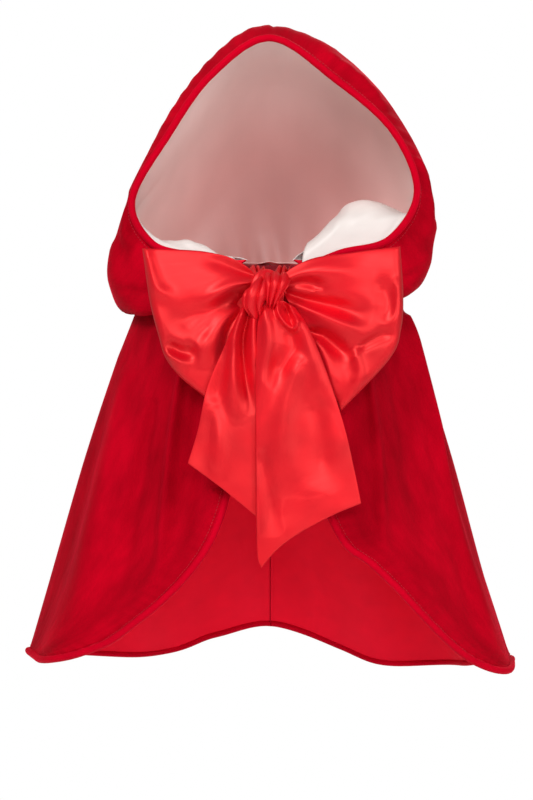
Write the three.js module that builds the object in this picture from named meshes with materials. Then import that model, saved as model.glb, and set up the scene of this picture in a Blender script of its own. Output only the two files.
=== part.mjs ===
// Child's short hooded cape in red velvet with a large satin bow at the throat.
// Millimetres, +Z up. The origin is the centre of the neck opening, the front faces -Y
// and +X is the side of the wearer's left hand.
import * as THREE from 'three';

// Driving dimensions
const VELVET = 3;            // velvet shell with its pile and backing
const SATIN = 1.6;           // lining satin
const LAYER_GAP = 0.5;       // between two layers that lie on each other
const PIPING_RADIUS = 3.6;
const PIPING_GAP = 0.6;      // between a welt and the cloth edge it finishes
const NECK_HALF_WIDTH = 62;
const NECK_HALF_DEPTH = 54;
const SIDE_SEAM_HALF_GAP = 2;

// Neck binding: a band inside the neck seam, open at the throat
const BINDING_TOP_Z = -1;
const BINDING_BOTTOM_Z = -14;
const BINDING_INSET = 4.5;
const BINDING_HALF_GAP_ANGLE = 20;

// Side seam tape: from and to (z), angles from the front centre, and the gap to the back panel
const TAPE_TOP_Z = -60;
const TAPE_ABOVE_HEM = 14;
const TAPE_ANGLES = [92, 96];
const SEAM_TAPE_GAP = 3;

// Cape: half width and half depth of the ring at each height
const CAPE_RINGS = [
  { z: -5, width: 62, depth: 54 },
  { z: -25, width: 100, depth: 64 },
  { z: -45, width: 138, depth: 76 },
  { z: -100, width: 160, depth: 90 },
  { z: -210, width: 192, depth: 112 },
  { z: -337, width: 227, depth: 143 },
  { z: -430, width: 257, depth: 168 },
];
const CAPE_TOP_Z = -5;
const BACK_HEM_Z = -408;
const SIDE_HEM_Z = -420;

// Cutaway edge of the wearer's right front, from the throat to the hem tip (x, z); the left
// front has it mirrored
const FRONT_EDGE = [
  [-11, -6], [-15, -70], [-26, -160], [-46, -250], [-75, -310],
  [-116, -358], [-168, -397], [-213, -415], [-246, -421],
];

// Hood: the cloth fans out from a pivot line through the two throat ends
const HOOD_PIVOT_Y = -58;
const HOOD_PIVOT_Z = 0;
const RIM_ANGLE = 85;        // fan angle of the face opening, 90 is upright
const FOLD_ANGLE = 105;      // where the part that folds back meets the rest
const BACK_ANGLE = 180;
const FOLD_RADIUS_CENTRE = 24;
const BACK_SHRINK_RADIUS = 0.74;
const BACK_SHRINK_WIDTH = 0.72;
const RIM_TUCK = 8;          // how far the rim is drawn in from the fullest line
const REAR_STEP = 16;        // the rear lies this far inside the folding front
// One half of the hood's outline in the fan plane (half width, radius)
const HOOD_OUTLINE = [
  [66, 8], [114, 18], [150, 38], [165, 66], [147, 105], [121, 149], [93, 188], [66, 216], [38, 236],
];
const HOOD_PEAK_RADIUS = 249;
const THROAT_RUN = [[46, 12], [30, 6]];

// Hood base: the loose fold on the shoulders, as (reach from the neck, z)
const BASE_SECTION = [
  [48, -2.5], [80, -2.5], [99, -8], [104, -22], [99, -36], [90, -41], [80, -31], [54, -25], [22, -10.5], [6, -3],
];
const BASE_START_ANGLE = 28;
// Share of the reach that is left at the throat and at the back of the neck; from the throat it
// grows to its full size over BASE_GROWTH_ANGLE
const BASE_THROAT_SHARE = 0.3;
const BASE_BACK_SHARE = 0.8;
const BASE_GROWTH_ANGLE = 80;

// Bow
const KNOT_CENTRE = new THREE.Vector3(-4, -131, -34);
const KNOT_HALF_SIZE = new THREE.Vector3(22, 15, 27);
const LOOP_MID_Y = -129;
const TAIL_FRONT_Y = -146;
const TAIL_BACK_Y = -143.6;

// Neck tie: its centre line runs from the neck binding to the back of the knot
const TIE_START = new THREE.Vector3(14, -53, 0.5);
const TIE_END = new THREE.Vector3(9.5, -113.5, -22);
const TIE_HALF_WIDTH = 7;
const TIE_HALF_THICKNESS = 1.4;

const velvet = new THREE.MeshStandardMaterial({ color: 0xa8001c, roughness: 0.75, metalness: 0 });
const welt = new THREE.MeshStandardMaterial({ color: 0xb00420, roughness: 0.7, metalness: 0 });
const satin = new THREE.MeshStandardMaterial({ color: 0xd80c22, roughness: 0.35, metalness: 0 });
const lining = new THREE.MeshStandardMaterial({ color: 0xf4ebe6, roughness: 0.4, metalness: 0 });
const binding = new THREE.MeshStandardMaterial({ color: 0x99001a, roughness: 0.8, metalness: 0 });

const radians = THREE.MathUtils.degToRad;
const lerp = THREE.MathUtils.lerp;

// A closed body between two grids of points that have the same rows and columns.
function closedSheet(outer, inner) {
  const rows = outer.length;
  const columns = outer[0].length;
  const positions = [];
  for (const point of [...outer.flat(), ...inner.flat()]) {
    positions.push(point.x, point.y, point.z);
  }
  const index = [];
  const at = (side, row, column) => (side * rows + row) * columns + column;
  const quad = (a, b, c, d) => index.push(a, b, c, a, c, d);
  for (let row = 0; row < rows - 1; row++) {
    for (let column = 0; column < columns - 1; column++) {
      quad(at(0, row, column), at(0, row, column + 1), at(0, row + 1, column + 1), at(0, row + 1, column));
      quad(at(1, row, column), at(1, row + 1, column), at(1, row + 1, column + 1), at(1, row, column + 1));
    }
  }
  const lastRow = rows - 1;
  const lastColumn = columns - 1;
  for (let column = 0; column < lastColumn; column++) {
    quad(at(0, 0, column + 1), at(0, 0, column), at(1, 0, column), at(1, 0, column + 1));
    quad(at(0, lastRow, column), at(0, lastRow, column + 1), at(1, lastRow, column + 1), at(1, lastRow, column));
  }
  for (let row = 0; row < lastRow; row++) {
    quad(at(0, row, 0), at(0, row + 1, 0), at(1, row + 1, 0), at(1, row, 0));
    quad(at(0, row + 1, lastColumn), at(0, row, lastColumn), at(1, row, lastColumn), at(1, row + 1, lastColumn));
  }
  const geometry = new THREE.BufferGeometry();
  geometry.setAttribute('position', new THREE.Float32BufferAttribute(positions, 3));
  geometry.setIndex(index);
  return facingOut(geometry);
}

// Turns every triangle over when the enclosed volume comes out negative.
function facingOut(geometry) {
  const position = geometry.getAttribute('position');
  const index = geometry.getIndex();
  const corner = [new THREE.Vector3(), new THREE.Vector3(), new THREE.Vector3()];
  let volume = 0;
  for (let i = 0; i < index.count; i += 3) {
    corner.forEach((point, k) => point.fromBufferAttribute(position, index.getX(i + k)));
    volume += corner[0].dot(corner[1].cross(corner[2]));
  }
  if (volume < 0) {
    for (let i = 0; i < index.count; i += 3) {
      const second = index.getX(i + 1);
      index.setX(i + 1, index.getX(i + 2));
      index.setX(i + 2, second);
    }
  }
  geometry.computeVertexNormals();
  return geometry;
}

function tube(points, radius, steps) {
  const section = new THREE.Shape();
  section.absarc(0, 0, radius, 0, 2 * Math.PI);
  const path = new THREE.CatmullRomCurve3(points);
  const options = { extrudePath: path, steps, curveSegments: 3, bevelEnabled: false };
  return new THREE.ExtrudeGeometry(section, options);
}

// Moves a line of 2-D points sideways, to its left, by a distance.
function offsetLine(points, distance) {
  return points.map((point, i) => {
    const before = points[Math.max(i - 1, 0)];
    const after = points[Math.min(i + 1, points.length - 1)];
    const along = new THREE.Vector2().subVectors(after, before).normalize();
    return new THREE.Vector2(point.x - along.y * distance, point.y + along.x * distance);
  });
}

function smoothLine(pairs, count) {
  const curve = new THREE.SplineCurve(pairs.map(([x, y]) => new THREE.Vector2(x, y)));
  return curve.getSpacedPoints(count);
}

// ---- Hood ----

function hoodOutline() {
  const left = HOOD_OUTLINE.map(([width, radius]) => [-width, radius]);
  return smoothLine([...HOOD_OUTLINE, [0, HOOD_PEAK_RADIUS], ...left.reverse()], 24);
}

function fanPoint(width, radius, angle) {
  const turn = radians(angle);
  return new THREE.Vector3(
    width,
    HOOD_PIVOT_Y - radius * Math.cos(turn),
    HOOD_PIVOT_Z + radius * Math.sin(turn),
  );
}

// One layer of the hood at a fan angle, a distance inside the outline.
function hoodRow(angle, inset) {
  const back = Math.max(angle - FOLD_ANGLE, 0) / (BACK_ANGLE - FOLD_ANGLE);
  const shrinkRadius = lerp(1, BACK_SHRINK_RADIUS, back);
  const shrinkWidth = lerp(1, BACK_SHRINK_WIDTH, back);
  return offsetLine(hoodOutline(), inset).map((point) => {
    const radius = FOLD_RADIUS_CENTRE + (point.y - FOLD_RADIUS_CENTRE) * shrinkRadius;
    return fanPoint(point.x * shrinkWidth, radius, angle);
  });
}

function hoodSector(fromAngle, toAngle, steps, inset, thickness) {
  const outer = [];
  const inner = [];
  for (let i = 0; i <= steps; i++) {
    const angle = lerp(fromAngle, toAngle, i / steps);
    outer.push(hoodRow(angle, inset(angle)));
    inner.push(hoodRow(angle, inset(angle) + thickness));
  }
  return closedSheet(outer, inner);
}

// The front part swells out behind the drawn-in rim.
function frontInset(angle) {
  const ahead = (angle - RIM_ANGLE) / (FOLD_ANGLE - RIM_ANGLE);
  return RIM_TUCK * (1 - Math.sin(ahead * Math.PI / 2));
}

function hoodFront() {
  return hoodSector(RIM_ANGLE, FOLD_ANGLE, 4, frontInset, VELVET);
}

function hoodFrontLining() {
  return hoodSector(RIM_ANGLE, FOLD_ANGLE, 4, (angle) => frontInset(angle) + VELVET + LAYER_GAP, SATIN);
}

function hoodRear() {
  return hoodSector(FOLD_ANGLE, BACK_ANGLE, 7, () => REAR_STEP, VELVET);
}

function hoodRearLining() {
  return hoodSector(FOLD_ANGLE, BACK_ANGLE, 7, () => REAR_STEP + VELVET + LAYER_GAP, SATIN);
}

function hoodRimPiping() {
  const inset = RIM_TUCK + VELVET - PIPING_GAP;
  const arch = offsetLine(hoodOutline(), inset);
  const right = THROAT_RUN.map(([x, y]) => new THREE.Vector2(x, y)).reverse();
  const left = THROAT_RUN.map(([x, y]) => new THREE.Vector2(-x, y));
  const ahead = PIPING_RADIUS + PIPING_GAP;
  const turn = radians(RIM_ANGLE);
  const shift = new THREE.Vector3(0, -Math.sin(turn) * ahead, -Math.cos(turn) * ahead);
  const points = [...right, ...arch, ...left].map((p) => fanPoint(p.x, p.y, RIM_ANGLE).add(shift));
  return tube(points, PIPING_RADIUS, 42);
}

// Angle 0 is the throat, 90 the wearer's left shoulder, 180 the back of the neck.
function aroundNeck(angle, reach, z) {
  const turn = radians(angle);
  const fromBack = Math.abs(angle - 180);
  const grown = THREE.MathUtils.smoothstep(180 - fromBack, 0, BASE_GROWTH_ANGLE);
  const share = fromBack > 90
    ? lerp(BASE_THROAT_SHARE, 1, grown)
    : lerp(BASE_BACK_SHARE, 1, fromBack / 90);
  return new THREE.Vector3(
    Math.sin(turn) * (NECK_HALF_WIDTH + reach * share),
    -Math.cos(turn) * (NECK_HALF_DEPTH + reach * share),
    z,
  );
}

function baseLayer(pairs, inset, thickness) {
  const section = pairs.map(([reach, z]) => new THREE.Vector2(reach, z));
  const outerLine = offsetLine(section, -inset);
  const innerLine = offsetLine(section, -inset - thickness);
  const outer = [];
  const inner = [];
  const steps = 22;
  for (let i = 0; i <= steps; i++) {
    const angle = lerp(BASE_START_ANGLE, 360 - BASE_START_ANGLE, i / steps);
    outer.push(outerLine.map((point) => aroundNeck(angle, point.x, point.y)));
    inner.push(innerLine.map((point) => aroundNeck(angle, point.x, point.y)));
  }
  return closedSheet(outer, inner);
}

function neckBinding() {
  const steps = 28;
  const outer = [];
  const inner = [];
  for (let i = 0; i <= steps; i++) {
    const turn = radians(lerp(BINDING_HALF_GAP_ANGLE, 360 - BINDING_HALF_GAP_ANGLE, i / steps));
    const ring = (depth, z) => new THREE.Vector3(
      Math.sin(turn) * (NECK_HALF_WIDTH - depth),
      -Math.cos(turn) * (NECK_HALF_DEPTH - depth),
      z,
    );
    outer.push([ring(BINDING_INSET, BINDING_TOP_Z), ring(BINDING_INSET, BINDING_BOTTOM_Z)]);
    inner.push([ring(BINDING_INSET + VELVET, BINDING_TOP_Z), ring(BINDING_INSET + VELVET, BINDING_BOTTOM_Z)]);
  }
  return closedSheet(outer, inner);
}

// ---- Cape ----

// Half width and half depth of the cape at a height; above and below the table, its end
// sections run on.
function capeRing(z) {
  const lower = CAPE_RINGS.slice(1);
  const low = lower.find((ring) => ring.z <= z) ?? lower[lower.length - 1];
  const high = CAPE_RINGS[CAPE_RINGS.indexOf(low) - 1];
  const share = (z - high.z) / (low.z - high.z);
  return { width: lerp(high.width, low.width, share), depth: lerp(high.depth, low.depth, share) };
}

// A point on the cape at an angle from the front centre, a distance inside the outer face.
function capePoint(angle, z, inset) {
  const ring = capeRing(z);
  const turn = radians(angle);
  return new THREE.Vector3(
    Math.sin(turn) * (ring.width - inset),
    -Math.cos(turn) * (ring.depth - inset),
    z,
  );
}

// The same, named by its X on the front half of the ring.
function capeFrontAngle(x, z) {
  return THREE.MathUtils.radToDeg(Math.asin(THREE.MathUtils.clamp(x / capeRing(z).width, -1, 1)));
}

function sideSeamAngle(z) {
  const gap = SIDE_SEAM_HALF_GAP / capeRing(z).depth;
  return 90 - THREE.MathUtils.radToDeg(Math.asin(gap));
}

function frontPanel(side) {
  const edge = offsetLine(smoothLine(FRONT_EDGE, 15), -(PIPING_RADIUS + PIPING_GAP));
  const columns = 7;
  const layer = (inset) => edge.map((point, i) => {
    const share = i / (edge.length - 1);
    const edgeAngle = capeFrontAngle(point.x, point.y);
    const sideZ = lerp(CAPE_TOP_Z, SIDE_HEM_Z + PIPING_RADIUS, share);
    const row = [];
    for (let k = 0; k <= columns; k++) {
      const z = lerp(point.y, sideZ, k / columns);
      const angle = lerp(edgeAngle, -sideSeamAngle(z), k / columns);
      row.push(capePoint(side * -angle, z, inset));
    }
    return row;
  });
  return closedSheet(layer(0), layer(VELVET));
}

function frontPiping(side) {
  const points = smoothLine(FRONT_EDGE, 15).map((point) => {
    const angle = capeFrontAngle(point.x, point.y);
    return capePoint(side * -angle, point.y, VELVET / 2);
  });
  return tube(points, PIPING_RADIUS, 26);
}

function backPanel() {
  const rows = 10;
  const columns = 20;
  const layer = (inset) => Array.from({ length: rows + 1 }, (_, i) => {
    const row = [];
    for (let k = 0; k <= columns; k++) {
      const z = lerp(CAPE_TOP_Z, SIDE_HEM_Z + PIPING_RADIUS + PIPING_GAP, i / rows);
      const start = 180 - sideSeamAngle(z);
      const angle = lerp(start, 360 - start, k / columns);
      const lift = (BACK_HEM_Z - SIDE_HEM_Z) * Math.abs(Math.cos(radians(angle))) * i / rows;
      row.push(capePoint(angle, z + lift, inset));
    }
    return row;
  });
  return closedSheet(layer(0), layer(VELVET));
}

function backHemPiping() {
  const steps = 28;
  const points = [];
  for (let k = 0; k <= steps; k++) {
    const start = 180 - sideSeamAngle(SIDE_HEM_Z);
    const angle = lerp(start, 360 - start, k / steps);
    const lift = (BACK_HEM_Z - SIDE_HEM_Z) * Math.abs(Math.cos(radians(angle)));
    points.push(capePoint(angle, SIDE_HEM_Z + lift, VELVET / 2));
  }
  return tube(points, PIPING_RADIUS, steps);
}

// A narrow tape inside the back panel, along the seam that joins it to a front.
function sideSeamTape(side) {
  const inset = VELVET + SEAM_TAPE_GAP;
  const steps = 10;
  const layer = (depth) => Array.from({ length: steps + 1 }, (_, i) => {
    const z = lerp(TAPE_TOP_Z, SIDE_HEM_Z + TAPE_ABOVE_HEM, i / steps);
    return TAPE_ANGLES.map((angle) => capePoint(side * angle, z, depth));
  });
  return closedSheet(layer(inset), layer(inset + SATIN));
}

// ---- Bow ----

// The wide ribbon runs out from the knot, folds at the outer end and comes back behind.
const LOOP_BAND = [
  { out: 0, depth: 4, tuck: 0 }, { out: 0.3, depth: 8, tuck: 0 }, { out: 0.7, depth: 10, tuck: 0 },
  { out: 0.94, depth: 8, tuck: 0.02 }, { out: 1, depth: 0, tuck: 0.03 }, { out: 0.94, depth: -8, tuck: 0.02 },
  { out: 0.7, depth: -10, tuck: 0 }, { out: 0.3, depth: -8, tuck: 0 }, { out: 0, depth: -4, tuck: 0 },
];
const LOOP_WALL = 2.4;
const RIGHT_LOOP = {
  knotLine: [[-32, -20], [-32, -50]],
  outerLine: [[-134, 15], [-127, -39], [-118, -78], [-93, -122], [-68, -143]],
};
const LEFT_LOOP = {
  knotLine: [[24, -20], [24, -50]],
  outerLine: [[137, 17], [141, -35], [139, -69], [124, -104], [76, -156]],
};

function bowLoop({ knotLine, outerLine }) {
  const across = 8;
  const knotPoints = smoothLine(knotLine, across);
  const outerPoints = smoothLine(outerLine, across);
  const layer = (isInner) => LOOP_BAND.map(({ out, depth, tuck }) => {
    const share = isInner ? out - tuck : out;
    const y = isInner ? depth - Math.sign(depth) * LOOP_WALL : depth;
    return knotPoints.map((start, i) => new THREE.Vector3(
      lerp(start.x, outerPoints[i].x, share),
      LOOP_MID_Y - y,
      lerp(start.y, outerPoints[i].y, share),
    ));
  });
  return closedSheet(layer(false), layer(true));
}

const RIGHT_TAIL = {
  leftEdge: [[-28, -67], [-62, -132], [-77, -176], [-87, -212]],
  rightEdge: [[-15.5, -67], [-15, -140], [-15, -210], [-15, -271]],
};
const LEFT_TAIL = {
  leftEdge: [[-13, -67], [-13, -150], [-13, -230], [-10, -321]],
  rightEdge: [[34, -67], [62, -130], [80, -178], [97, -254]],
};

function bowTail({ leftEdge, rightEdge }) {
  const rows = 8;
  const columns = 4;
  const left = smoothLine(leftEdge, rows);
  const right = smoothLine(rightEdge, rows);
  const layer = (y) => left.map((start, i) => Array.from({ length: columns + 1 }, (_, k) => new THREE.Vector3(
    lerp(start.x, right[i].x, k / columns),
    y,
    lerp(start.y, right[i].y, k / columns),
  )));
  return closedSheet(layer(TAIL_FRONT_Y), layer(TAIL_BACK_Y));
}

function bowKnot() {
  const geometry = new THREE.SphereGeometry(1, 16, 10);
  geometry.scale(KNOT_HALF_SIZE.x, KNOT_HALF_SIZE.y, KNOT_HALF_SIZE.z);
  geometry.translate(KNOT_CENTRE.x, KNOT_CENTRE.y, KNOT_CENTRE.z);
  return geometry;
}

// A gathered strap from the neck binding's front end to the back of the knot.
function neckTie(side) {
  const steps = 6;
  const layer = (lift) => Array.from({ length: steps + 1 }, (_, i) => {
    const centre = TIE_START.clone().lerp(TIE_END, i / steps);
    return [-TIE_HALF_WIDTH, TIE_HALF_WIDTH].map(
      (across) => new THREE.Vector3(side * centre.x + across, centre.y, centre.z + lift),
    );
  });
  return closedSheet(layer(TIE_HALF_THICKNESS), layer(-TIE_HALF_THICKNESS));
}

function mesh(name, geometry, material) {
  const piece = new THREE.Mesh(geometry, material);
  piece.name = name;
  return piece;
}

const hood = new THREE.Group();
hood.add(
  mesh('hood_front', hoodFront(), velvet),
  mesh('hood_front_lining', hoodFrontLining(), lining),
  mesh('hood_rim_piping', hoodRimPiping(), welt),
  mesh('hood_rear', hoodRear(), velvet),
  mesh('hood_rear_lining', hoodRearLining(), lining),
  mesh('hood_base', baseLayer(BASE_SECTION, 0, VELVET), velvet),
  mesh('hood_base_lining', baseLayer(BASE_SECTION.slice(1, -1), VELVET + LAYER_GAP, SATIN), lining),
  mesh('neck_binding', neckBinding(), binding),
);

const body = new THREE.Group();
body.add(
  mesh('back_panel', backPanel(), velvet),
  mesh('back_hem_piping', backHemPiping(), welt),
);
for (const [word, side] of [['left', 1], ['right', -1]]) {
  body.add(
    mesh(`${word}_front_panel`, frontPanel(side), velvet),
    mesh(`${word}_front_piping`, frontPiping(side), welt),
    mesh(`${word}_side_seam_tape`, sideSeamTape(side), binding),
  );
}

const bow = new THREE.Group();
bow.add(
  mesh('bow_knot', bowKnot(), satin),
  mesh('bow_left_loop', bowLoop(LEFT_LOOP), satin),
  mesh('bow_right_loop', bowLoop(RIGHT_LOOP), satin),
  mesh('bow_left_tail', bowTail(LEFT_TAIL), satin),
  mesh('bow_right_tail', bowTail(RIGHT_TAIL), satin),
  mesh('left_neck_tie', neckTie(1), satin),
  mesh('right_neck_tie', neckTie(-1), satin),
);

const cape = new THREE.Group();
cape.add(hood, body, bow);

export default cape;
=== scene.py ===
import math

import bpy
from mathutils.kdtree import KDTree
import numpy as np
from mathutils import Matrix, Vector


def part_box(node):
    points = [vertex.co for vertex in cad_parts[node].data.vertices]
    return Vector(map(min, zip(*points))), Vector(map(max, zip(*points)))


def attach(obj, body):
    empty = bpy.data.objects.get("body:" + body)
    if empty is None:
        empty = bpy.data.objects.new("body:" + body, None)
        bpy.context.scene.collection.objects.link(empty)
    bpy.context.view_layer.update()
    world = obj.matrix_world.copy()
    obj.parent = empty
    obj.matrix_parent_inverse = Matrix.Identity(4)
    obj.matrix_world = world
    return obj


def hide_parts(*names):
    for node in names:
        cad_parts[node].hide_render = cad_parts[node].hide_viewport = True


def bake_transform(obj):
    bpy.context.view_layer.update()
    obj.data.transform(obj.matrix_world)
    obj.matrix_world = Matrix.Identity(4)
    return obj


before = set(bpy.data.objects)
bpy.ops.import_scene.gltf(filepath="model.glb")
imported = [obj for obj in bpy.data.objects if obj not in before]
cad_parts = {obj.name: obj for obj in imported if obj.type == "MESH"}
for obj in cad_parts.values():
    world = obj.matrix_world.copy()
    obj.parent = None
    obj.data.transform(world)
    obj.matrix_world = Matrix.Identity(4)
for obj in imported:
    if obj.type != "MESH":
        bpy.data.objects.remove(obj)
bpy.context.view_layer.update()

MM = 0.001
CAMERA_PLACE = (-0.0037, -2.1, -0.145)
LENS = 90
FLOOR_Z, FLOOR_FRONT, FLOOR_BACK, FLOOR_HALF = -0.95, -9, 1.6, 9


# ---------------------------------------------------------------- camera, lights, stage

def aim(obj, target):
    direction = Vector(target) - obj.location
    obj.rotation_euler = direction.to_track_quat("-Z", "Y").to_euler()


def make_camera():
    data = bpy.data.cameras.new("camera")
    data.lens = LENS
    data.clip_end = 20
    camera = bpy.data.objects.new("camera", data)
    camera.location = CAMERA_PLACE
    camera.rotation_euler = (math.radians(90), 0, 0)
    bpy.context.collection.objects.link(camera)
    bpy.context.scene.camera = camera


def area_light(name, location, target, size, power, colour=(1, 1, 1)):
    data = bpy.data.lights.new(name, "AREA")
    data.shape = "RECTANGLE"
    data.size, data.size_y = size
    data.energy = power
    data.color = colour
    light = bpy.data.objects.new(name, data)
    light.location = location
    bpy.context.collection.objects.link(light)
    aim(light, target)


def make_stage():
    points = [
        (-FLOOR_HALF, FLOOR_FRONT, FLOOR_Z), (FLOOR_HALF, FLOOR_FRONT, FLOOR_Z),
        (FLOOR_HALF, FLOOR_BACK, FLOOR_Z), (-FLOOR_HALF, FLOOR_BACK, FLOOR_Z),
    ]
    mesh = bpy.data.meshes.new("floor")
    mesh.from_pydata(points, [], [(0, 1, 2, 3)])
    floor = bpy.data.objects.new("floor", mesh)
    bpy.context.collection.objects.link(floor)
    pale = bpy.data.materials.new("pale_floor")
    pale.use_nodes = True
    shader = pale.node_tree.nodes["Principled BSDF"]
    shader.inputs["Base Color"].default_value = (0.95, 0.95, 0.95, 1)
    shader.inputs["Roughness"].default_value = 0.9
    mesh.materials.append(pale)

    # A white backdrop as seen, and a dimmer room as a source of light, so that folds keep their shade.
    world = bpy.data.worlds.new("studio")
    world.use_nodes = True
    tree = world.node_tree
    room = tree.nodes["Background"]
    room.inputs["Color"].default_value = (1.0, 0.98, 0.97, 1)
    room.inputs["Strength"].default_value = 0.3
    backdrop = tree.nodes.new("ShaderNodeBackground")
    backdrop.inputs["Color"].default_value = (1, 1, 1, 1)
    backdrop.inputs["Strength"].default_value = 1.0
    seen = tree.nodes.new("ShaderNodeLightPath")
    choose = tree.nodes.new("ShaderNodeMixShader")
    tree.links.new(seen.outputs["Is Camera Ray"], choose.inputs[0])
    tree.links.new(room.outputs[0], choose.inputs[1])
    tree.links.new(backdrop.outputs[0], choose.inputs[2])
    tree.links.new(choose.outputs[0], tree.nodes["World Output"].inputs["Surface"])
    bpy.context.scene.world = world
    bpy.context.scene.view_settings.view_transform = "Standard"

    area_light("key", (-1.2, -1.7, 1.6), (0, 0, -0.1), (0.8, 0.8), 42)
    area_light("fill", (1.7, -1.5, 0.3), (0, 0, -0.15), (0.8, 1.4), 17)
    area_light("front", (0.1, -2.4, 0.5), (0, 0, 0), (1.0, 0.6), 20)
    area_light("rim", (0.4, 1.8, 1.4), (0, 0, 0), (1.4, 0.8), 14)


# ---------------------------------------------------------------- materials

class Nodes:
    """A short hand for building one node material."""

    def __init__(self, name):
        self.material = bpy.data.materials.new(name)
        self.material.use_nodes = True
        self.tree = self.material.node_tree
        self.shader = self.tree.nodes["Principled BSDF"]

    def add(self, kind, settings=(), **inputs):
        node = self.tree.nodes.new(kind)
        for key, value in dict(settings).items():
            setattr(node, key, value)
        for key, value in inputs.items():
            self.feed(node, key.replace("_", " "), value)
        return node

    def feed(self, node, key, value):
        socket = node.inputs[key]
        if isinstance(value, bpy.types.NodeSocket):
            self.tree.links.new(value, socket)
        else:
            socket.default_value = value

    def cloth_uv(self, scale):
        """Coordinates in cloth metres times scale, stretched by a scale for each direction."""
        uv = self.add("ShaderNodeUVMap", {"uv_map": "cloth"})
        mapping = self.add("ShaderNodeMapping")
        mapping.inputs["Scale"].default_value = scale
        self.tree.links.new(uv.outputs["UV"], mapping.inputs["Vector"])
        return mapping.outputs["Vector"]

    def noise(self, vector, scale, detail=3, roughness=0.5):
        node = self.add("ShaderNodeTexNoise", Vector=vector, Scale=scale, Detail=detail, Roughness=roughness)
        return node.outputs["Fac"]

    def ramp(self, factor, stops):
        node = self.add("ShaderNodeValToRGB", Fac=factor)
        elements = node.color_ramp.elements
        while len(elements) < len(stops):
            elements.new(0.5)
        for element, (position, colour) in zip(elements, stops):
            element.position = position
            element.color = (*colour, 1)
        return node.outputs["Color"]

    def mix(self, factor, a, b, blend="MIX"):
        node = self.add("ShaderNodeMix", {"data_type": "RGBA", "blend_type": blend})
        self.feed(node, 0, factor)
        for key, value in ((6, a), (7, b)):
            if isinstance(value, bpy.types.NodeSocket):
                self.tree.links.new(value, node.inputs[key])
            else:
                node.inputs[key].default_value = (*value, 1)
        return node.outputs[2]

    def math(self, operation, a, b=0.0):
        node = self.add("ShaderNodeMath", {"operation": operation})
        self.feed(node, 0, a)
        self.feed(node, 1, b)
        return node.outputs[0]

    def bump(self, height, strength, distance, normal=None):
        node = self.add("ShaderNodeBump", Height=height, Strength=strength, Distance=distance)
        if normal is not None:
            self.tree.links.new(normal, node.inputs["Normal"])
        return node.outputs["Normal"]


def velvet_material(name, dark, bright, painted_glint):
    """Crushed velvet: the pile lies in soft patches and streaks, which tilt its bumps and vary its colour at
    random; the brightest streaks, in the glint colour, are a painted highlight.
    """
    n = Nodes(name)
    patches = n.noise(n.cloth_uv((18, 7, 1)), 1.0, 3, 0.5)
    streaks = n.noise(n.cloth_uv((90, 26, 1)), 1.0, 3, 0.55)
    pile = n.noise(n.cloth_uv((2400, 2400, 1)), 1.0, 2, 0.5)
    lie = n.math("ADD", n.math("MULTIPLY", patches, 0.68), n.math("MULTIPLY", streaks, 0.32))
    middle = tuple((a + b) / 2 for a, b in zip(dark, bright))
    # the last stop is a painted highlight: the brightest streaks of the pile take the glint colour
    base = n.ramp(lie, [(0.3, dark), (0.5, middle), (0.66, bright), (0.76, painted_glint)])
    speckled = n.mix(n.math("MULTIPLY", pile, 0.22), base, dark)
    n.feed(n.shader, "Base Color", speckled)
    n.shader.inputs["Roughness"].default_value = 0.72
    n.shader.inputs["Sheen Weight"].default_value = 0.6
    n.shader.inputs["Sheen Roughness"].default_value = 0.3
    n.shader.inputs["Sheen Tint"].default_value = (1.0, 0.01, 0.05, 1)
    n.shader.inputs["Specular IOR Level"].default_value = 0.12
    n.shader.inputs["Specular Tint"].default_value = (1.0, 0.1, 0.12, 1)
    soft = n.bump(lie, 0.55, 0.004)
    n.feed(n.shader, "Normal", n.bump(pile, 0.25, 0.0004, soft))
    return n.material


def knit_back_material(name, colour):
    """The plain knitted back of the velvet."""
    n = Nodes(name)
    rows = n.cloth_uv((900, 900, 1))
    wave = n.add("ShaderNodeTexWave", {"wave_type": "BANDS"}, Vector=rows, Scale=1.0, Distortion=1.5)
    tone = n.noise(n.cloth_uv((40, 40, 1)), 1.0, 3)
    dark = tuple(c * 0.8 for c in colour)
    n.feed(n.shader, "Base Color", n.mix(tone, colour, dark))
    n.shader.inputs["Roughness"].default_value = 0.8
    n.shader.inputs["Specular IOR Level"].default_value = 0.2
    n.feed(n.shader, "Normal", n.bump(wave.outputs["Fac"], 0.2, 0.0003))
    return n.material


def satin_material(name, deep, bright, roughness, sheen, tint):
    """Satin: long floats in the weave give a broad, tinted highlight across the threads."""
    n = Nodes(name)
    threads = n.noise(n.cloth_uv((3600, 260, 1)), 1.0, 2, 0.4)
    slubs = n.noise(n.cloth_uv((240, 20, 1)), 1.0, 3, 0.5)
    clouds = n.noise(n.cloth_uv((16, 16, 1)), 1.0, 2, 0.5)
    base = n.ramp(clouds, [(0.3, deep), (0.7, bright)])
    n.feed(n.shader, "Base Color", n.mix(n.math("MULTIPLY", threads, 0.22), base, deep))
    spread = n.math("MULTIPLY", slubs, 0.12)
    n.feed(n.shader, "Roughness", n.math("ADD", spread, roughness))
    n.shader.inputs["Metallic"].default_value = sheen
    n.shader.inputs["Specular IOR Level"].default_value = 0.9
    n.shader.inputs["Specular Tint"].default_value = (*tint, 1)
    n.shader.inputs["Anisotropic"].default_value = 0.4
    fine = n.bump(threads, 0.12, 0.0003)
    n.feed(n.shader, "Normal", n.bump(slubs, 0.1, 0.001, fine))
    return n.material


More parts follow.
